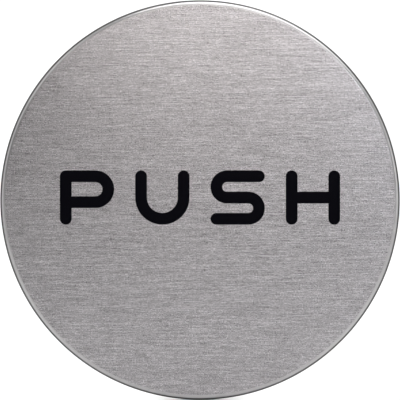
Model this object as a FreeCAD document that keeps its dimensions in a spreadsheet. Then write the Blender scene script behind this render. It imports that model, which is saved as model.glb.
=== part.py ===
"""A round self-adhesive door sign that reads PUSH, as a parametric FreeCAD document.

The sign hangs upright: +Z is up, the face looks towards -Y, and the origin is the centre of its flat back.
From the back to the front it is built up of
    two pieces of release liner, which meet at an upright slit and peel off before the sign is stuck on,
    an adhesive film for the door,
    a foam pad, which takes up the unevenness of the door,
    an adhesive film for the plate,
    the face plate of brushed stainless steel with a rounded front rim, and
    the legend, four letters of screen-printed enamel with strokes of one width and round ends.
All sizes are in millimetres.
"""

import FreeCAD, Part

import math
import os

import Sketcher

# Driving dimensions: the alias in the sheet, its value and what it is.
SIZES = [
    ("plate_diameter", 65.0, "outside diameter of the face plate"),
    ("plate_thickness", 1.2, "thickness of the face plate"),
    ("rim_rounding", 0.9, "radius of the rounded front edge of the face plate"),
    ("rim_land", 0.1, "least straight wall left between the rim's rounding and its back edge"),
    ("back_edge_break", 0.15, "chamfer on the back edge of the face plate"),
    ("pad_inset", 2.0, "how far the pad and its films stay inside the plate's edge"),
    ("film_thickness", 0.08, "thickness of each adhesive film"),
    ("foam_thickness", 0.8, "thickness of the foam pad"),
    ("liner_thickness", 0.12, "thickness of the release liner"),
    ("slit_offset", 9.0, "distance of the liner's slit from the centre, towards +X"),
    ("slit_gap", 0.1, "width of the slit between the two pieces of liner"),
    ("cap_height", 8.8, "height of the letters over all"),
    ("letter_width", 8.8, "width of each letter over all"),
    ("letter_pitch", 12.2, "distance from one letter to the next"),
    ("stroke_width", 1.9, "width of the strokes of the letters"),
    ("loop_radius", 2.1, "radius of the loop of the P, to the middle of its stroke"),
    ("legend_rise", 0.4, "how far the middle of the letters lies above the centre of the plate"),
    ("enamel_thickness", 0.05, "how far the printed letters stand out of the plate"),
]
LEGEND = "PUSH"
SHEET = "sizes"

# How far the front of each layer stands in front of the back of the sign, as expressions on the sheet.
LINER_FRONT = "sizes.liner_thickness"
DOOR_FILM_FRONT = f"{LINER_FRONT} + sizes.film_thickness"
FOAM_FRONT = f"{DOOR_FILM_FRONT} + sizes.foam_thickness"
PLATE_FILM_FRONT = f"{FOAM_FRONT} + sizes.film_thickness"
PLATE_FRONT = f"{PLATE_FILM_FRONT} + sizes.plate_thickness"

PLATE_RADIUS = "sizes.plate_diameter / 2"
PAD_RADIUS = "sizes.plate_diameter / 2 - sizes.pad_inset"

# Places on a letter, from the lower left corner of its outline to the middle of a stroke.
END_RADIUS = "sizes.stroke_width / 2"
LEFT = "sizes.stroke_width / 2"
RIGHT = "sizes.letter_width - sizes.stroke_width / 2"
BOTTOM = "sizes.stroke_width / 2"
MIDDLE = "sizes.cap_height / 2"
TOP = "sizes.cap_height - sizes.stroke_width / 2"

# Which way a half ring bulges: the direction in which its arc starts, in quarter turns from +X.
BULGES_LEFT, BULGES_DOWN, BULGES_RIGHT = 1, 2, 3

ROOT_POINT = (-1, 1)
SKETCH_ROOT = FreeCAD.Vector(0, 0, 0)
SKETCH_NORMAL = FreeCAD.Vector(0, 0, 1)
START, END, CENTRE = 1, 2, 3
QUARTER_TURN = math.pi / 2


def add_sheet(document):
    """The spreadsheet that holds every driving dimension under its alias."""
    sheet = document.addObject("Spreadsheet::Sheet", SHEET)
    for row, (alias, value, meaning) in enumerate(SIZES, start=1):
        sheet.set(f"A{row}", alias)
        sheet.set(f"B{row}", str(value))
        sheet.setAlias(f"B{row}", alias)
        sheet.set(f"C{row}", meaning)
    document.recompute()


def add_body(document, label, back):
    """A body whose own back lies at the given distance in front of the back of the sign."""
    body = document.addObject("PartDesign::Body", label)
    body.Label = label
    body.setExpression("Placement.Base.y", f"-({back})")
    return body


def add_sketch(body, name):
    """An empty sketch on the body's own upright plane, X to the right and Z up."""
    sketch = body.newObject("Sketcher::SketchObject", name)
    plane = next(f for f in body.Origin.OriginFeatures if f.Role == "XZ_Plane")
    sketch.AttachmentSupport = [(plane, "")]
    sketch.MapMode = "FlatFace"
    return sketch


def value_of(item, expression):
    """What an expression on the sheet comes to now, so that a shape is first drawn where it belongs."""
    return float(item.evalExpression(expression))


def bind(sketch, name, expression, kind, *places):
    """Adds a dimension to a sketch and ties it to an expression on the sheet."""
    index = sketch.addConstraint(Sketcher.Constraint(kind, *places, value_of(sketch, expression)))
    sketch.renameConstraint(index, name)
    sketch.setExpression(f"Constraints.{name}", expression)


def pin_point(sketch, name, geometry, point, across, up):
    """Ties a point of the sketch to its distances from the sketch's root."""
    bind(sketch, f"{name}_across", across, "DistanceX", *ROOT_POINT, geometry, point)
    bind(sketch, f"{name}_up", up, "DistanceY", *ROOT_POINT, geometry, point)


def join(sketch, kind, *places):
    """Adds a constraint that has no dimension."""
    sketch.addConstraint(Sketcher.Constraint(kind, *places))


def add_pad(body, sketch, thickness):
    """Thickens a sketch towards the front, which is -Y."""
    pad = body.newObject("PartDesign::Pad", f"{sketch.Name}_pad")
    pad.Profile = sketch
    pad.setExpression("Length", thickness)
    sketch.Visibility = False
    return pad


def add_disc(body, radius, thickness):
    """A round layer, centred on the sign's axis."""
    sketch = add_sketch(body, f"{body.Name}_outline")
    circle = sketch.addGeometry(Part.Circle(SKETCH_ROOT, SKETCH_NORMAL, value_of(sketch, radius)))
    join(sketch, "Coincident", circle, CENTRE, *ROOT_POINT)
    bind(sketch, "radius", radius, "Radius", circle)
    return add_pad(body, sketch, thickness)


def edges_at(feature, distance_out):
    """The names of the edges that lie in the plane at a distance in front of the body's back."""
    names = []
    for number, edge in enumerate(feature.Shape.Edges, start=1):
        box = edge.BoundBox
        if abs(box.YMin + distance_out) < 1e-6 and abs(box.YMax + distance_out) < 1e-6:
            names.append(f"Edge{number}")
    return names


def add_face_plate(document):
    """The steel disc: a rounded front rim, and a back edge that is only broken."""
    body = add_body(document, "face_plate", PLATE_FILM_FRONT)
    blank = add_disc(body, PLATE_RADIUS, "sizes.plate_thickness")
    document.recompute()
    edge_break = body.newObject("PartDesign::Chamfer", "back_edge")
    edge_break.Base = (blank, edges_at(blank, 0.0))
    edge_break.setExpression("Size", "sizes.back_edge_break")
    document.recompute()
    rim = body.newObject("PartDesign::Fillet", "front_rim")
    rim.Base = (edge_break, edges_at(edge_break, blank.Length.Value))
    rim_room = "sizes.plate_thickness - sizes.back_edge_break - sizes.rim_land"
    rim.setExpression("Radius", f"min(sizes.rim_rounding; {rim_room})")
    body.Tip = rim


def add_layer(document, label, back, thickness):
    """One round layer of the pad, cut to the pad's radius."""
    body = add_body(document, label, back)
    add_disc(body, PAD_RADIUS, thickness)


def add_liner(document, label, chord, side):
    """One piece of the release liner: the pad's circle on one side of a chord, where +1 is towards +X."""
    body = add_body(document, label, "0")
    sketch = add_sketch(body, f"{label}_outline")
    half_angle = math.acos(value_of(sketch, chord) / value_of(sketch, PAD_RADIUS))
    start, finish = (-half_angle, half_angle) if side > 0 else (half_angle, 2 * math.pi - half_angle)
    circle = Part.Circle(SKETCH_ROOT, SKETCH_NORMAL, value_of(sketch, PAD_RADIUS))
    rim = sketch.addGeometry(Part.ArcOfCircle(circle, start, finish))
    rim_arc = sketch.Geometry[rim]
    slit = sketch.addGeometry(Part.LineSegment(rim_arc.EndPoint, rim_arc.StartPoint))
    join(sketch, "Coincident", rim, CENTRE, *ROOT_POINT)
    join(sketch, "Coincident", slit, START, rim, END)
    join(sketch, "Coincident", slit, END, rim, START)
    join(sketch, "Vertical", slit)
    bind(sketch, "rim_radius", PAD_RADIUS, "Radius", rim)
    bind(sketch, "slit_across", chord, "DistanceX", *ROOT_POINT, slit, START)
    add_pad(body, sketch, "sizes.liner_thickness")


def point_at(sketch, place):
    """The point on a sketch that two expressions give, across and up."""
    return FreeCAD.Vector(value_of(sketch, place[0]), value_of(sketch, place[1]), 0)


def add_arc(sketch, centre, radius, first_turn, last_turn):
    """An arc between two directions, each in quarter turns from +X."""
    circle = Part.Circle(centre, SKETCH_NORMAL, radius)
    return sketch.addGeometry(Part.ArcOfCircle(circle, first_turn * QUARTER_TURN, last_turn * QUARTER_TURN))


def add_bar(body, name, start, finish):
    """A straight stroke with round ends, to the right or upwards between two points on the letter."""
    sketch = add_sketch(body, f"{body.Name}_{name}")
    low, high = point_at(sketch, start), point_at(sketch, finish)
    end_radius = value_of(sketch, END_RADIUS)
    turn = 1 if start[0] == finish[0] else 0
    first = add_arc(sketch, low, end_radius, turn + 1, turn + 3)
    last = add_arc(sketch, high, end_radius, turn - 1, turn + 1)
    first_arc, last_arc = sketch.Geometry[first], sketch.Geometry[last]
    right_side = sketch.addGeometry(Part.LineSegment(first_arc.EndPoint, last_arc.StartPoint))
    left_side = sketch.addGeometry(Part.LineSegment(last_arc.EndPoint, first_arc.StartPoint))
    join(sketch, "Tangent", first, END, right_side, START)
    join(sketch, "Tangent", right_side, END, last, START)
    join(sketch, "Tangent", last, END, left_side, START)
    join(sketch, "Tangent", left_side, END, first, START)
    join(sketch, "Equal", first, last)
    pin_point(sketch, "start", first, CENTRE, *start)
    pin_point(sketch, "finish", last, CENTRE, *finish)
    bind(sketch, "end_radius", END_RADIUS, "Radius", first)
    add_pad(body, sketch, "sizes.enamel_thickness")


def add_half_ring(body, name, centre, radius, bulge):
    """A stroke bent to half a ring, whose radius is to the middle of the stroke."""
    sketch = add_sketch(body, f"{body.Name}_{name}")
    middle = point_at(sketch, centre)
    outer_radius, inner_radius = f"{radius} + {END_RADIUS}", f"{radius} - {END_RADIUS}"
    outer = add_arc(sketch, middle, value_of(sketch, outer_radius), bulge, bulge + 2)
    inner = add_arc(sketch, middle, value_of(sketch, inner_radius), bulge, bulge + 2)
    outer_arc, inner_arc = sketch.Geometry[outer], sketch.Geometry[inner]
    first_end = sketch.addGeometry(Part.LineSegment(outer_arc.StartPoint, inner_arc.StartPoint))
    last_end = sketch.addGeometry(Part.LineSegment(outer_arc.EndPoint, inner_arc.EndPoint))
    join(sketch, "Coincident", first_end, START, outer, START)
    join(sketch, "Coincident", first_end, END, inner, START)
    join(sketch, "Coincident", last_end, START, outer, END)
    join(sketch, "Coincident", last_end, END, inner, END)
    join(sketch, "Coincident", inner, CENTRE, outer, CENTRE)
    across_ends = "Horizontal" if bulge == BULGES_DOWN else "Vertical"
    for arc in (outer, inner):
        join(sketch, across_ends, arc, START, arc, CENTRE)
        join(sketch, across_ends, arc, END, arc, CENTRE)
    pin_point(sketch, "centre", outer, CENTRE, *centre)
    bind(sketch, "outer_radius", outer_radius, "Radius", outer)
    bind(sketch, "inner_radius", inner_radius, "Radius", inner)
    add_pad(body, sketch, "sizes.enamel_thickness")


def draw_p(body):
    """A stem with a loop at its top."""
    loop_across = f"{RIGHT} - sizes.loop_radius"
    loop_up = f"{TOP} - sizes.loop_radius"
    waist = f"{TOP} - 2 * sizes.loop_radius"
    add_bar(body, "stem", (LEFT, BOTTOM), (LEFT, TOP))
    add_bar(body, "top_bar", (LEFT, TOP), (loop_across, TOP))
    add_bar(body, "waist_bar", (LEFT, waist), (loop_across, waist))
    add_half_ring(body, "loop", (loop_across, loop_up), "sizes.loop_radius", BULGES_RIGHT)


def draw_u(body):
    """Two stems on a half ring."""
    bowl = ("sizes.letter_width / 2", "sizes.letter_width / 2")
    add_bar(body, "left_stem", (LEFT, bowl[1]), (LEFT, TOP))
    add_bar(body, "right_stem", (RIGHT, bowl[1]), (RIGHT, TOP))
    add_half_ring(body, "bowl", bowl, "(sizes.letter_width - sizes.stroke_width) / 2", BULGES_DOWN)


def draw_s(body):
    """Three bars, joined by a half ring at the upper left and one at the lower right."""
    turn = "(sizes.cap_height - sizes.stroke_width) / 4"
    left_turn = f"{LEFT} + {turn}"
    right_turn = f"{RIGHT} - {turn}"
    add_bar(body, "top_bar", (left_turn, TOP), (RIGHT, TOP))
    add_bar(body, "middle_bar", (left_turn, MIDDLE), (right_turn, MIDDLE))
    add_bar(body, "bottom_bar", (LEFT, BOTTOM), (right_turn, BOTTOM))
    add_half_ring(body, "upper_turn", (left_turn, f"{MIDDLE} + {turn}"), turn, BULGES_LEFT)
    add_half_ring(body, "lower_turn", (right_turn, f"{MIDDLE} - {turn}"), turn, BULGES_RIGHT)


def draw_h(body):
    """Two stems and a crossbar."""
    add_bar(body, "left_stem", (LEFT, BOTTOM), (LEFT, TOP))
    add_bar(body, "right_stem", (RIGHT, BOTTOM), (RIGHT, TOP))
    add_bar(body, "crossbar", (LEFT, MIDDLE), (RIGHT, MIDDLE))


def add_legend(document):
    """The printed letters, side by side across the middle of the plate, each a body of its own."""
    draw = {"P": draw_p, "U": draw_u, "S": draw_s, "H": draw_h}
    legend_width = f"({len(LEGEND) - 1} * sizes.letter_pitch + sizes.letter_width)"
    for place, letter in enumerate(LEGEND):
        body = add_body(document, f"letter_{letter.lower()}", PLATE_FRONT)
        body.setExpression("Placement.Base.x", f"{place} * sizes.letter_pitch - {legend_width} / 2")
        body.setExpression("Placement.Base.z", "sizes.legend_rise - sizes.cap_height / 2")
        draw[letter](body)


def check(document, bodies):
    """Stops the build if any object failed, or a sub-part isn't one good solid."""
    for item in document.Objects:
        if {"Invalid", "Error"} & set(item.State):
            raise RuntimeError(f"{item.Label} failed to build: {item.State}")
    for body in bodies:
        shape = body.Shape
        if shape.isNull() or not shape.isValid() or len(shape.Solids) != 1 or shape.Volume <= 0:
            raise RuntimeError(f"{body.Label} isn't one valid solid")


def main():
    document = FreeCAD.newDocument("push_sign")
    add_sheet(document)
    add_liner(document, "liner_large", "sizes.slit_offset - sizes.slit_gap / 2", -1)
    add_liner(document, "liner_small", "sizes.slit_offset + sizes.slit_gap / 2", 1)
    add_layer(document, "door_adhesive", LINER_FRONT, "sizes.film_thickness")
    add_layer(document, "foam_pad", DOOR_FILM_FRONT, "sizes.foam_thickness")
    add_layer(document, "plate_adhesive", FOAM_FRONT, "sizes.film_thickness")
    add_face_plate(document)
    add_legend(document)
    document.recompute()
    bodies = [item for item in document.Objects if item.TypeId == "PartDesign::Body"]
    check(document, bodies)
    os.makedirs("parts", exist_ok=True)
    for body in bodies:
        body.Shape.exportStep(f"parts/{body.Label}.step")
        box = body.Shape.BoundBox
        print(f"{body.Label}: volume {body.Shape.Volume:.3f}, y {box.YMin:.3f} to {box.YMax:.3f}, "
              f"x {box.XMin:.3f} to {box.XMax:.3f}, z {box.ZMin:.3f} to {box.ZMax:.3f}")


main()
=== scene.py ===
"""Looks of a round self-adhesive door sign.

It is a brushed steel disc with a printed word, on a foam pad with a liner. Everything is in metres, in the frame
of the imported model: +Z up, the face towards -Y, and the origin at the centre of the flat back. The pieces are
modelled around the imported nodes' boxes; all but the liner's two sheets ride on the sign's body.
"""

import math

import bmesh
import bpy
from mathutils import Matrix, Vector


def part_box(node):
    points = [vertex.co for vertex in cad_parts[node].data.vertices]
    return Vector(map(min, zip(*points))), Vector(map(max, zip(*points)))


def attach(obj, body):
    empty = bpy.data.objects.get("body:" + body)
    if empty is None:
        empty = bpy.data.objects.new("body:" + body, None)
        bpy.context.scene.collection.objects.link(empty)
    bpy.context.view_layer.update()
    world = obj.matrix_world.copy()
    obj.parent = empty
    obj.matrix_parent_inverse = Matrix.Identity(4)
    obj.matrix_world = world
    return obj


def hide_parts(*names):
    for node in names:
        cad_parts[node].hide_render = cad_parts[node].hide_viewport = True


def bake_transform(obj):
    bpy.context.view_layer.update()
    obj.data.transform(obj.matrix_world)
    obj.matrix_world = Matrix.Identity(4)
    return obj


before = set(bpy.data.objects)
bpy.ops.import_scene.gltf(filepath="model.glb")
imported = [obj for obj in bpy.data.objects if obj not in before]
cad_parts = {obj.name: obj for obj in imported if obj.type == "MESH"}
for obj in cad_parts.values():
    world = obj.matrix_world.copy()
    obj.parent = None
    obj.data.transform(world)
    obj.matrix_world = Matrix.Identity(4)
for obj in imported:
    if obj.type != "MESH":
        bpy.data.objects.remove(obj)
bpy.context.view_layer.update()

MM = 0.001
FRONT = Vector((0, -1, 0))

# Where the layers lie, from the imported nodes.
PLATE_FRONT, PLATE_BACK = (corner.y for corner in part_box("face_plate"))
PLATE_FILM_FRONT, PLATE_FILM_BACK = (corner.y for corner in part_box("plate_adhesive"))
FOAM_FRONT, FOAM_BACK = (corner.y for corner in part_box("foam_pad"))
DOOR_FILM_FRONT, DOOR_FILM_BACK = (corner.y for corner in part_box("door_adhesive"))
LINER_FRONT, LINER_BACK = (corner.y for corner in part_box("liner_large"))
PLATE_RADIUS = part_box("face_plate")[1].z
PAD_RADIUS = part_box("foam_pad")[1].z

# How far apart two depths may be that count as one, and how near to square on a face has to be to face front.
SAME_DEPTH = 1e-7
SQUARE_ON = 0.999

# The plate's edges, the rings that its face is divided into, and how many sides stand for a circle.
RIM_ROUNDING = 0.9 * MM
RIM_STEPS = 16
BACK_EDGE_BREAK = 0.15 * MM
BACK_EDGE_STEPS = 2
FACE_RINGS = (0.04 * MM, 8 * MM, 8 * MM, 8 * MM)
DISC_SIDES = 360

# The depths behind the face between which the painted dark reflection round the rim sets in, and lifts again.
PAINTED_REFLECTION_START = (0.10 * MM, 0.30 * MM)
PAINTED_REFLECTION_END = (0.50 * MM, 0.75 * MM)

# Edges flatter than these, in degrees, are shaded smooth.
SMOOTH_ANGLE = 40
PLATE_SMOOTH_ANGLE = 30
FOAM_SMOOTH_ANGLE = 50

# The printed letters, all of one size, with strokes of one width.
LETTER_WIDTH, _, CAP_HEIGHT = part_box("letter_h")[1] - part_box("letter_h")[0]
STROKE = 1.9 * MM
STROKE_END = STROKE / 2
LOOP_RADIUS = 2.1 * MM
INK_ROUNDING = 0.035 * MM
INK_STEPS = 4
ARC_STEP = 6.0
WELD_DISTANCE = 0.002 * MM
STRAIGHT_ANGLE = 1
DOWN, RIGHTWARDS = -90.0, 0.0

# The foam's cut edge.
CELL_SIZE = 0.32 * MM
CELL_DEPTH = 0.09 * MM
CELL_SIDES = 2400
CELL_ROWS = 12

# The liner's bend, and the films' soft edges.
LINER_EDGE = 0.02 * MM
LINER_EDGE_STEPS = 2
BEND_LENGTH = 5.0 * MM
BEND_STRIP = 0.25 * MM
FILM_EDGE = 0.025 * MM
FILM_EDGE_STEPS = 3


# ---------------------------------------------------------------- modelling

def deselect():
    bpy.ops.object.select_all(action="DESELECT")


def make_active(piece):
    deselect()
    bpy.context.view_layer.objects.active = piece
    piece.select_set(True)


def begin_edit(piece, mode):
    """Goes into edit mode on one piece with nothing selected."""
    make_active(piece)
    bpy.ops.object.mode_set(mode="EDIT")
    bpy.ops.mesh.select_mode(type=mode)
    bpy.ops.mesh.select_all(action="DESELECT")


def end_edit():
    bpy.ops.object.mode_set(mode="OBJECT")
    deselect()


def select(piece, kind, test):
    """Selects only the piece's verts, edges or faces that pass a test, in edit mode."""
    bpy.ops.mesh.select_mode(type={"verts": "VERT", "edges": "EDGE", "faces": "FACE"}[kind])
    bpy.ops.mesh.select_all(action="DESELECT")
    mesh = bmesh.from_edit_mesh(piece.data)
    for part in getattr(mesh, kind):
        if test(part):
            part.select_set(True)
    mesh.select_flush_mode()
    bmesh.update_edit_mesh(piece.data)


def smooth(piece, angle=SMOOTH_ANGLE):
    make_active(piece)
    bpy.ops.object.shade_smooth_by_angle(angle=math.radians(angle))
    deselect()


def add_disc(name, radius, front, back, sides=DISC_SIDES):
    """A solid disc about the sign's axis, with its place in its mesh."""
    deselect()
    middle = (front + back) / 2
    bpy.ops.mesh.primitive_cylinder_add(vertices=sides, radius=radius, depth=back - front,
                                        location=(0, middle, 0), rotation=(math.pi / 2, 0, 0))
    disc = bpy.context.object
    disc.name = name
    bpy.ops.object.transform_apply(location=True, rotation=True, scale=True)
    deselect()
    return disc


def edge_lies_at(*depths):
    """A test for the edges that lie square to the axis, at one of these depths."""
    return lambda edge: any(all(abs(vertex.co.y - y) < SAME_DEPTH for vertex in edge.verts) for y in depths)


def faces_front(face):
    return face.normal.dot(FRONT) > SQUARE_ON


def make_face_plate():
    """The steel disc, with its front rim rounded and its back edge broken."""
    plate = add_disc("sign_plate", PLATE_RADIUS, PLATE_FRONT, PLATE_BACK)
    begin_edit(plate, "EDGE")
    select(plate, "edges", edge_lies_at(PLATE_BACK))
    bpy.ops.mesh.bevel(offset=BACK_EDGE_BREAK, segments=BACK_EDGE_STEPS, affect="EDGES")
    select(plate, "edges", edge_lies_at(PLATE_FRONT))
    bpy.ops.mesh.bevel(offset=RIM_ROUNDING, segments=RIM_STEPS, profile=0.5, affect="EDGES")
    select(plate, "faces", faces_front)
    for width in FACE_RINGS:
        bpy.ops.mesh.inset(thickness=width, use_boundary=True)
    end_edit()
    smooth(plate, PLATE_SMOOTH_ANGLE)
    return plate


class Pen:
    """Draws closed outlines in the sign's plane, one after another, into the mesh of one piece.

    A start is given from the lower left corner of the letter. A heading is in degrees from +X towards +Z, and a
    left turn is towards +Z for a pen that moves along +X.
    """

    def __init__(self, name, corner):
        self.corner = corner
        deselect()
        bpy.ops.mesh.primitive_plane_add(size=MM)
        self.piece = bpy.context.object
        self.piece.name = name
        bpy.ops.object.mode_set(mode="EDIT")
        bpy.ops.mesh.delete(type="VERT")
        bpy.ops.mesh.select_mode(type="VERT")

    def start(self, across, up, heading):
        self.place = self.corner + Vector((across, 0, up))
        self.heading = heading
        bpy.ops.mesh.select_all(action="DESELECT")
        bpy.ops.mesh.primitive_plane_add(size=MM, location=self.place)
        bpy.ops.mesh.merge(type="CENTER")

    def direction(self, turn=0.0):
        angle = math.radians(self.heading + turn)
        return Vector((math.cos(angle), 0, math.sin(angle)))

    def forward(self, distance):
        step = self.direction() * distance
        bpy.ops.mesh.extrude_vertices_move(TRANSFORM_OT_translate={"value": step})
        self.place = self.place + step

    def turn(self, angle):
        self.heading += angle

    def bend(self, radius, angle):
        """Moves along an arc, to the left where the angle is positive."""
        centre = self.place + self.direction(math.copysign(90, angle)) * radius
        turn = math.radians(angle)
        bpy.ops.mesh.spin(steps=round(abs(angle) / ARC_STEP), angle=-turn, center=centre, axis=FRONT)
        self.place = centre + Matrix.Rotation(turn, 3, FRONT) @ (self.place - centre)
        self.heading += angle

    def thicken(self, thickness):
        """Closes and fills the outlines, and raises them towards the front with a rounded edge."""
        bpy.ops.mesh.select_all(action="SELECT")
        bpy.ops.mesh.remove_doubles(threshold=WELD_DISTANCE)
        bpy.ops.mesh.fill()
        bpy.ops.mesh.dissolve_limited(angle_limit=math.radians(STRAIGHT_ANGLE))
        select(self.piece, "faces", lambda face: face.normal.dot(FRONT) < 0)
        bpy.ops.mesh.flip_normals()
        bpy.ops.mesh.select_all(action="SELECT")
        rise = FRONT * (thickness - INK_ROUNDING)
        bpy.ops.mesh.extrude_region_move(TRANSFORM_OT_translate={"value": rise})
        for step in range(INK_STEPS):
            low, high = (math.pi / 2 * count / INK_STEPS for count in (step, step + 1))
            bpy.ops.mesh.inset(thickness=INK_ROUNDING * (math.cos(low) - math.cos(high)),
                               depth=INK_ROUNDING * (math.sin(high) - math.sin(low)))
        bpy.ops.mesh.select_all(action="SELECT")
        bpy.ops.mesh.normals_make_consistent(inside=False)
        end_edit()
        smooth(self.piece)
        return self.piece


def draw_p(pen):
    """A stem with a loop at its top."""
    top = CAP_HEIGHT - STROKE_END
    waist = top - 2 * LOOP_RADIUS
    bar = LETTER_WIDTH - STROKE_END - LOOP_RADIUS
    pen.start(0, STROKE_END, DOWN)
    pen.bend(STROKE_END, 180)
    pen.forward(waist - STROKE)
    pen.turn(-90)
    pen.forward(bar - STROKE)
    pen.bend(LOOP_RADIUS + STROKE_END, 180)
    pen.forward(bar - STROKE_END)
    pen.bend(STROKE_END, 90)
    pen.forward(top - STROKE_END)
    pen.start(STROKE, waist + STROKE_END, RIGHTWARDS)
    pen.forward(bar - STROKE)
    pen.bend(LOOP_RADIUS - STROKE_END, 180)
    pen.forward(bar - STROKE)
    pen.turn(90)
    pen.forward(2 * LOOP_RADIUS - STROKE)


def draw_u(pen):
    """Two stems on a half ring."""
    stem = CAP_HEIGHT - STROKE_END - LETTER_WIDTH / 2
    pen.start(0, CAP_HEIGHT - STROKE_END, DOWN)
    pen.forward(stem)
    pen.bend(LETTER_WIDTH / 2, 180)
    pen.forward(stem)
    pen.bend(STROKE_END, 180)
    pen.forward(stem)
    pen.bend(LETTER_WIDTH / 2 - STROKE, -180)
    pen.forward(stem)
    pen.bend(STROKE_END, 180)


def draw_s(pen):
    """Three bars, joined by a half ring at the upper left and one at the lower right."""
    ring = (CAP_HEIGHT - STROKE) / 4
    outer_bar = LETTER_WIDTH - STROKE - ring
    pen.start(STROKE_END, 0, RIGHTWARDS)
    for _ in ("lower right", "upper left"):
        pen.forward(outer_bar)
        pen.bend(ring + STROKE_END, 180)
        pen.forward(outer_bar - ring)
        pen.bend(ring - STROKE_END, -180)
        pen.forward(outer_bar)
        pen.bend(STROKE_END, 180)


def draw_h(pen):
    """Two stems and a crossbar."""
    leg = CAP_HEIGHT / 2 - STROKE
    pen.start(0, CAP_HEIGHT - STROKE_END, DOWN)
    for _ in ("left", "right"):
        pen.forward(CAP_HEIGHT - STROKE)
        pen.bend(STROKE_END, 180)
        pen.forward(leg)
        pen.turn(-90)
        pen.forward(LETTER_WIDTH - 2 * STROKE)
        pen.turn(-90)
        pen.forward(leg)
        pen.bend(STROKE_END, 180)


def make_letter(name, node, draw):
    low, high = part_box(node)
    pen = Pen(name, Vector((low.x, high.y, low.z)))
    draw(pen)
    return pen.thicken(high.y - low.y)


def make_film(name, front, back):
    """A film of adhesive, whose edges have crept round."""
    film = add_disc(name, PAD_RADIUS, front, back)
    begin_edit(film, "EDGE")
    select(film, "edges", edge_lies_at(front, back))
    bpy.ops.mesh.bevel(offset=FILM_EDGE, segments=FILM_EDGE_STEPS, affect="EDGES")
    end_edit()
    smooth(film)
    return film


def make_foam_pad():
    """The foam disc, whose wall is cut through the cells of the foam."""
    pad = add_disc("foam_cushion", PAD_RADIUS, FOAM_FRONT, FOAM_BACK, CELL_SIDES)
    begin_edit(pad, "EDGE")
    select(pad, "edges", lambda edge: abs(edge.verts[0].co.y - edge.verts[1].co.y) > SAME_DEPTH)
    bpy.ops.mesh.subdivide(number_cuts=CELL_ROWS - 1)
    end_edit()
    wall = pad.vertex_groups.new(name="wall")
    rows = [v.index for v in pad.data.vertices
            if FOAM_FRONT + SAME_DEPTH < v.co.y < FOAM_BACK - SAME_DEPTH]
    wall.add(rows, 1.0, "REPLACE")
    cells = bpy.data.textures.new("foam_cells", "VORONOI")
    cells.noise_scale = CELL_SIZE
    dents = pad.modifiers.new("cell_dents", "DISPLACE")
    dents.texture = cells
    dents.texture_coords = "LOCAL"
    dents.vertex_group = wall.name
    dents.strength = CELL_DEPTH
    dents.mid_level = 1.0
    make_active(pad)
    bpy.ops.object.modifier_apply(modifier=dents.name)
    pad.vertex_groups.clear()
    smooth(pad, FOAM_SMOOTH_ANGLE)
    return pad


def make_liner(name, node, side):
    """One piece of the liner, in strips where it bends as it peels.

    It lies to the left of the slit where side is -1, and to the right where side is 1.
    """
    low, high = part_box(node)
    slit = low.x if side > 0 else high.x
    liner = add_disc(name, PAD_RADIUS, LINER_FRONT, LINER_BACK)
    begin_edit(liner, "FACE")
    bpy.ops.mesh.select_all(action="SELECT")
    bpy.ops.mesh.bisect(plane_co=(slit, 0, 0), plane_no=(-side, 0, 0), use_fill=True, clear_outer=True)
    select(liner, "edges", edge_lies_at(LINER_FRONT, LINER_BACK))
    bpy.ops.mesh.bevel(offset=LINER_EDGE, segments=LINER_EDGE_STEPS, affect="EDGES")
    for strip in range(1, round(BEND_LENGTH / BEND_STRIP) + 1):
        cut = side * (PAD_RADIUS - strip * BEND_STRIP)
        bpy.ops.mesh.select_all(action="SELECT")
        bpy.ops.mesh.bisect(plane_co=(cut, 0, 0), plane_no=(1, 0, 0))
    end_edit()
    smooth(liner)
    return liner


# ---------------------------------------------------------------- materials

class Finish:
    """A material with a few short ways to add and join its nodes."""

    def __init__(self, name, **sockets):
        self.material = bpy.data.materials.new(name)
        self.material.use_nodes = True
        self.nodes = self.material.node_tree.nodes
        self.links = self.material.node_tree.links
        self.shader = self.nodes["Principled BSDF"]
        self.coordinates = self.nodes.new("ShaderNodeTexCoord").outputs["Object"]
        for socket, value in sockets.items():
            self.shader.inputs[socket.replace("_", " ")].default_value = value

    def node(self, kind, inputs=None, **settings):
        made = self.nodes.new(kind)
        for setting, value in settings.items():
            setattr(made, setting, value)
        for place, value in (inputs or {}).items():
            if isinstance(value, bpy.types.NodeSocket):
                self.links.new(value, made.inputs[place])
            else:
                made.inputs[place].default_value = value
        return made

    def noise(self, size, detail=2.0, roughness=0.5, shift=0.0):
        """Noise in object space whose blotches are about size = (x, y, z) metres."""
        scaled = self.node("ShaderNodeVectorMath", {0: self.coordinates, 1: tuple(1 / s for s in size)},
                           operation="MULTIPLY")
        moved = self.node("ShaderNodeVectorMath", {0: scaled.outputs[0], 1: (shift, shift, shift)},
                          operation="ADD")
        inputs = {"Vector": moved.outputs[0], "Scale": 1.0, "Detail": detail, "Roughness": roughness}
        return self.node("ShaderNodeTexNoise", inputs).outputs["Fac"]

    def math(self, operation, *terms):
        return self.node("ShaderNodeMath", dict(enumerate(terms)), operation=operation).outputs[0]

    def total(self, values):
        values = list(values)
        so_far = values[0]
        for value in values[1:]:
            so_far = self.math("ADD", so_far, value)
        return so_far

    def spread(self, value, low, high):
        """Stretches a noise's middle range, from 0.3 to 0.7, to low and high."""
        return self.node("ShaderNodeMapRange", {"Value": value, "From Min": 0.3, "From Max": 0.7,
                                                "To Min": low, "To Max": high}, clamp=False).outputs[0]

    def tint(self, value, color):
        """A colour made lighter and darker by a value around 1."""
        return self.node("ShaderNodeVectorMath", {0: color, "Scale": value}, operation="SCALE").outputs[0]

    def to(self, socket, value):
        self.links.new(value, self.shader.inputs[socket])

    def bump(self, height, strength, distance):
        self.to("Normal", self.node("ShaderNodeBump", {"Height": height, "Strength": strength,
                                                       "Distance": distance}).outputs[0])


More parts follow.
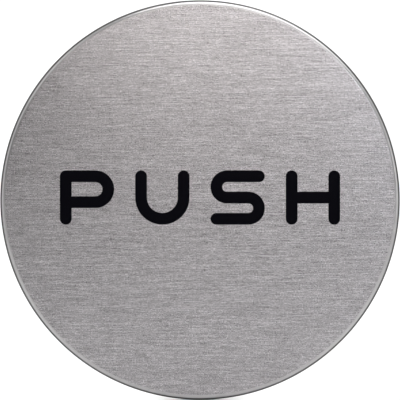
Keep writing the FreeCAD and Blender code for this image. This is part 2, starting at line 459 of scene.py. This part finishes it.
# The scratches of the brushing, from short to long: length, width, share of the grain, shift of the pattern.
GRAIN = (
    (0.22 * MM, 0.09 * MM, 1.1, 3.1),
    (0.9 * MM, 0.085 * MM, 0.55, 11.7),
    (5.0 * MM, 0.085 * MM, 0.5, 27.3),
)
GRAIN_CONTRAST = 1.65

# How much of the rim's brightness its painted dark reflection takes away, and how much of that painted darkness
# the wall behind gets back.
PAINTED_REFLECTION_DARKNESS = 0.9
WALL_RECOVERY = 0.75

STEEL_COLOR = (0.574, 0.553, 0.570)
RIM_COLOR = (0.72, 0.705, 0.71)
MILL_COLOR = (0.5, 0.49, 0.49)
INK_COLOR = (0.0018, 0.0016, 0.004, 1.0)
TACK_COLOR = (0.74, 0.70, 0.58)
FOAM_COLOR = (0.86, 0.86, 0.84)
LINER_COLOR = (0.70, 0.53, 0.27)


def brushed_steel():
    """Steel brushed along X: fine scratches, which spread a highlight upwards and downwards."""
    finish = Finish("brushed_steel", Metallic=1.0, Anisotropic=0.55, Anisotropic_Rotation=0.25)
    grain = finish.total(finish.spread(finish.noise((length, 1.0, width), shift=shift), -share, share)
                         for length, width, share, shift in GRAIN)
    tone = finish.math("POWER", GRAIN_CONTRAST, grain)
    finish.to("Base Color", finish.tint(tone, STEEL_COLOR))
    finish.to("Roughness", finish.math("MULTIPLY_ADD", grain, 0.02, 0.29))
    finish.bump(grain, 0.03, 0.01 * MM)
    tangent = finish.node("ShaderNodeTangent", direction_type="UV_MAP", uv_map="grain")
    finish.to("Tangent", tangent.outputs[0])
    return finish.material


def rim_steel():
    """The rounded rim: smooth where it faces front, then a dull band with a painted dark reflection all round,
    then a satin wall.
    """
    finish = Finish("rim_steel", Metallic=1.0, Specular_Tint=(0.3, 0.3, 0.3, 1.0))
    smear = finish.noise((1.5 * MM, 1.5 * MM, 1.5 * MM), shift=5.0)
    depth = finish.node("ShaderNodeSeparateXYZ", {0: finish.coordinates}).outputs["Y"]
    # Painted dark reflection: cut darkens the rim's colour in a band round it and wall lifts most of that again,
    # so the wall keeps a quarter of the painted darkness. cut also makes the band dull.
    cut, wall = (finish.node("ShaderNodeMapRange", {"Value": depth, "From Min": PLATE_FRONT + start,
                                                    "From Max": PLATE_FRONT + end}).outputs[0]
                 for start, end in (PAINTED_REFLECTION_START, PAINTED_REFLECTION_END))
    painted_reflection = finish.math("MULTIPLY", cut, finish.math("MULTIPLY_ADD", wall, -WALL_RECOVERY, 1.0))
    shade = finish.math("MULTIPLY", finish.math("MULTIPLY_ADD", painted_reflection, -PAINTED_REFLECTION_DARKNESS, 1.0),
                        finish.spread(smear, 0.96, 1.04))
    finish.to("Base Color", finish.tint(shade, RIM_COLOR))
    finish.to("Roughness", finish.math("MULTIPLY_ADD", cut, 0.25, 0.3))
    return finish.material


def mill_finish():
    """The steel's untouched back: dull and faintly blotched, with rolling lines."""
    finish = Finish("mill_finish", Metallic=1.0)
    blotch = finish.noise((0.6 * MM, 0.6 * MM, 0.6 * MM), shift=8.0)
    lines = finish.noise((9 * MM, 1.0, 0.15 * MM), shift=4.0)
    shade = finish.math("MULTIPLY", finish.spread(blotch, 0.93, 1.05), finish.spread(lines, 0.93, 1.07))
    finish.to("Base Color", finish.tint(shade, MILL_COLOR))
    finish.to("Roughness", finish.spread(blotch, 0.38, 0.5))
    finish.bump(lines, 0.1, 0.01 * MM)
    return finish.material


def enamel():
    """Black screen-printed enamel, half matt, with a faint orange peel."""
    finish = Finish("enamel", Base_Color=INK_COLOR, Specular_IOR_Level=0.05)
    peel = finish.noise((0.25 * MM, 0.25 * MM, 0.25 * MM), shift=2.0)
    finish.to("Roughness", finish.spread(peel, 0.38, 0.46))
    finish.bump(peel, 0.15, 0.004 * MM)
    return finish.material


def tacky_film():
    """Clear acrylic adhesive over white foam: wet-looking, with ripples left by the liner as it lets go."""
    finish = Finish("tacky_film", IOR=1.47, Coat_Weight=0.5, Coat_Roughness=0.12)
    cloud = finish.noise((4 * MM, 4 * MM, 4 * MM), shift=6.0)
    ripple = finish.noise((0.5 * MM, 0.5 * MM, 7 * MM), detail=3.0, shift=9.0)
    fleck = finish.noise((0.35 * MM, 0.35 * MM, 0.35 * MM), detail=3.0, shift=17.0)
    shade = finish.math("MULTIPLY", finish.spread(cloud, 0.95, 1.04), finish.spread(fleck, 0.97, 1.03))
    finish.to("Base Color", finish.tint(shade, TACK_COLOR))
    finish.to("Roughness", finish.spread(ripple, 0.16, 0.34))
    finish.bump(finish.math("ADD", ripple, fleck), 0.5, 0.03 * MM)
    return finish.material


def foam():
    """White closed-cell foam, with painted shade darkening the middle of each cell."""
    finish = Finish("white_foam", Specular_IOR_Level=0.25)
    cells = finish.node("ShaderNodeTexVoronoi", {"Vector": finish.coordinates, "Scale": 1 / CELL_SIZE})
    cloud = finish.noise((1.5 * MM, 1.5 * MM, 1.5 * MM), shift=13.0)
    # Painted shade: the colour darkens towards the middle of each foam cell, on every face.
    shade = finish.math("MULTIPLY", finish.math("MULTIPLY_ADD", cells.outputs["Distance"], 0.25, 0.82),
                        finish.spread(cloud, 0.97, 1.02))
    finish.to("Base Color", finish.tint(shade, FOAM_COLOR))
    finish.to("Roughness", finish.spread(cloud, 0.75, 0.9))
    finish.bump(cells.outputs["Distance"], 0.4, 0.05 * MM)
    return finish.material


def liner_paper():
    """Honey-coloured glassine paper with a silicone coat: short fibres, a cloudy body and a soft sheen."""
    finish = Finish("liner_paper", Coat_Weight=0.25, Coat_Roughness=0.35, Sheen_Weight=0.05)
    cloud = finish.noise((3 * MM, 3 * MM, 3 * MM), detail=4.0, shift=21.0)
    long_fibre = finish.noise((0.12 * MM, 0.5 * MM, 1.6 * MM), detail=3.0, shift=33.0)
    cross_fibre = finish.noise((1.1 * MM, 0.5 * MM, 0.12 * MM), detail=3.0, shift=41.0)
    fibre = finish.math("MULTIPLY_ADD", cross_fibre, 0.5, finish.math("MULTIPLY", long_fibre, 0.5))
    shade = finish.math("MULTIPLY", finish.spread(cloud, 0.9, 1.07), finish.spread(fibre, 0.84, 1.13))
    finish.to("Base Color", finish.tint(shade, LINER_COLOR))
    finish.to("Roughness", finish.spread(cloud, 0.42, 0.55))
    finish.bump(fibre, 0.25, 0.02 * MM)
    return finish.material


def give(piece, *materials):
    """Gives a piece its materials, in the order of its material slots."""
    for material in materials:
        piece.data.materials.append(material)


# ---------------------------------------------------------------- pieces

BRUSHED, ROUNDED, MILLED = range(3)


def finish_plate(plate):
    """Lays the three finishes on the plate's faces, and a flat map that the grain runs along."""
    give(plate, brushed_steel(), rim_steel(), mill_finish())
    for face in plate.data.polygons:
        if faces_front(face):
            face.material_index = BRUSHED
        elif face.center.y > PLATE_BACK - BACK_EDGE_BREAK / 2:
            face.material_index = MILLED
        else:
            face.material_index = ROUNDED
    grain_map = plate.data.uv_layers.new(name="grain")
    for loop, corner in zip(plate.data.loops, grain_map.data):
        place = plate.data.vertices[loop.vertex_index].co
        corner.uv = (0.5 + place.x / PLATE_RADIUS / 2, 0.5 + place.z / PLATE_RADIUS / 2)


def hand_over(node):
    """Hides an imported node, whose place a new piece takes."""
    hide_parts(node)


face_plate = make_face_plate()
finish_plate(face_plate)
hand_over("face_plate")
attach(face_plate, "sign")

ink = enamel()
for name, node, draw in (
    ("printed_p", "letter_p", draw_p),
    ("printed_u", "letter_u", draw_u),
    ("printed_s", "letter_s", draw_s),
    ("printed_h", "letter_h", draw_h),
):
    letter = make_letter(name, node, draw)
    give(letter, ink)
    hand_over(node)
    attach(letter, "sign")

tack = tacky_film()
plate_film = make_film("plate_film", PLATE_FILM_FRONT, PLATE_FILM_BACK)
door_film = make_film("door_film", DOOR_FILM_FRONT, DOOR_FILM_BACK)
for film, node in ((plate_film, "plate_adhesive"), (door_film, "door_adhesive")):
    give(film, tack)
    hand_over(node)
    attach(film, "sign")

foam_cushion = make_foam_pad()
give(foam_cushion, foam())
hand_over("foam_pad")
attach(foam_cushion, "sign")

paper = liner_paper()
large_sheet = make_liner("large_liner_sheet", "liner_large", -1)
give(large_sheet, paper)
hand_over("liner_large")
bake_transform(large_sheet)

small_sheet = make_liner("small_liner_sheet", "liner_small", 1)
give(small_sheet, paper)
hand_over("liner_small")
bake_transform(small_sheet)


# ---------------------------------------------------------------- camera, floor and light

# The camera's lens and sensor in mm, the disc's share of the frame's width, and where the camera begins to see.
LENS, SENSOR = 100.0, 36.0
FRAME_FILL = 0.998
CLIP_START = 0.01

# The floor, and how far from the point under the sign it starts and ends to fade into the backdrop.
FLOOR_SIZE = 6.0
FLOOR_COLOR = (0.95, 0.95, 0.95, 1.0)
FADE_START, FADE_END = 0.0, 0.01

ROOM_STRENGTH = 1.1
SIGN = (0.0, 0.0, 0.0)


def add_camera():
    """A camera straight in front of the face, which the disc all but fills."""
    widest = PLATE_FRONT + RIM_ROUNDING
    distance = PLATE_RADIUS * 2 * LENS / SENSOR / FRAME_FILL
    data = bpy.data.cameras.new("camera")
    data.lens = LENS
    data.sensor_width = SENSOR
    data.clip_start = CLIP_START
    camera = bpy.data.objects.new("camera", data)
    camera.location = (0, widest - distance, 0)
    camera.rotation_euler = (math.pi / 2, 0, 0)
    bpy.context.scene.collection.objects.link(camera)
    bpy.context.scene.camera = camera


def add_floor():
    """A pale floor, which fades into the white backdrop away from the sign."""
    deselect()
    bpy.ops.mesh.primitive_plane_add(size=FLOOR_SIZE, location=(0, 0, -PLATE_RADIUS))
    floor = bpy.context.object
    floor.name = "floor"
    finish = Finish("floor", Base_Color=FLOOR_COLOR, Roughness=0.7)
    measure = finish.node("ShaderNodeVectorMath", {0: finish.coordinates}, operation="LENGTH")
    fade = finish.node("ShaderNodeMapRange", {"Value": measure.outputs["Value"],
                                              "From Min": FADE_START, "From Max": FADE_END},
                       interpolation_type="SMOOTHSTEP").outputs[0]
    seen = finish.node("ShaderNodeLightPath").outputs["Is Camera Ray"]
    glow = finish.node("ShaderNodeEmission", {"Strength": ROOM_STRENGTH}).outputs[0]
    mix = finish.node("ShaderNodeMixShader", {0: finish.math("MULTIPLY", fade, seen),
                                              1: finish.shader.outputs[0], 2: glow})
    finish.links.new(mix.outputs[0], finish.nodes["Material Output"].inputs["Surface"])
    give(floor, finish.material)
    deselect()


def add_light(name, place, target, size, power, color=(1.0, 1.0, 1.0), spread=180):
    """A rectangular studio light, which the camera itself doesn't see."""
    data = bpy.data.lights.new(name, "AREA")
    data.shape = "RECTANGLE"
    data.size, data.size_y = size
    data.spread = math.radians(spread)
    data.energy = power
    data.color = color
    light = bpy.data.objects.new(name, data)
    light.location = place
    light.rotation_euler = (Vector(target) - Vector(place)).to_track_quat("-Z", "Y").to_euler()
    light.visible_camera = False
    bpy.context.scene.collection.objects.link(light)


# How bright the room is in each direction, from straight in front of the sign, at -1, to straight behind it.
ROOM_LEVELS = ((-1.0, 0.02), (-0.7, 0.04), (-0.3, 0.37), (0.2, 0.5), (0.9, 0.8))


def add_room():
    """A pale room, dark in front of the sign, where the face mirrors it. Past the sign the camera sees white."""
    world = bpy.data.worlds.new("studio")
    bpy.context.scene.world = world
    world.use_nodes = True
    nodes, links = world.node_tree.nodes, world.node_tree.links
    direction = nodes.new("ShaderNodeTexCoord").outputs["Generated"]
    split = nodes.new("ShaderNodeSeparateXYZ")
    share = nodes.new("ShaderNodeMapRange")
    ramp = nodes.new("ShaderNodeValToRGB")
    links.new(direction, split.inputs[0])
    links.new(split.outputs["Y"], share.inputs["Value"])
    share.inputs["From Min"].default_value = -1.0
    links.new(share.outputs[0], ramp.inputs["Fac"])
    for _ in range(len(ROOM_LEVELS) - 2):
        ramp.color_ramp.elements.new(0.5)
    for stop, (along_y, level) in zip(ramp.color_ramp.elements, ROOM_LEVELS):
        stop.position = (along_y + 1) / 2
        stop.color = (level, level, level, 1)
    backdrop = nodes.new("ShaderNodeMixRGB")
    backdrop.inputs["Color2"].default_value = (1, 1, 1, 1)
    links.new(nodes.new("ShaderNodeLightPath").outputs["Is Camera Ray"], backdrop.inputs["Fac"])
    links.new(ramp.outputs["Color"], backdrop.inputs["Color1"])
    links.new(backdrop.outputs["Color"], nodes["Background"].inputs["Color"])
    nodes["Background"].inputs["Strength"].default_value = ROOM_STRENGTH


add_camera()
add_floor()
add_room()
add_light("front_strip", (0.075, -1.0, 0.27), SIGN, (0.5, 0.15), 0.69, (1.0, 0.96, 0.93))
add_light("right_box", (0.3, -1.0, 0.25), SIGN, (0.2, 0.2), 0.26, (0.83, 0.9, 1.0))
add_light("left_side", (-0.6, -0.35, 0.1), SIGN, (0.3, 0.5), 0.2)
add_light("right_side", (0.6, -0.35, 0.0), SIGN, (0.3, 0.5), 0.43)
add_light("upper_right", (0.42, -0.35, 0.42), SIGN, (0.3, 0.3), 0.22)
add_light("upper_left", (-0.42, -0.35, 0.42), SIGN, (0.3, 0.3), 0.165)
add_light("upper_left_front", (-0.42, -0.6, 0.42), SIGN, (0.3, 0.3), 0.14)
add_light("top_strip", (0.04, -0.07, 0.10), SIGN, (0.12, 0.03), 0.022)
add_light("rim_light", (0.01, -0.02, 0.08), SIGN, (0.08, 0.02), 0.015)
add_light("floor_light", (0.0, 0.32, 0.3), (0.0, 0.32, 0.0), (0.7, 0.5), 0.6, spread=60)

bpy.context.scene.view_settings.view_transform = "Standard"
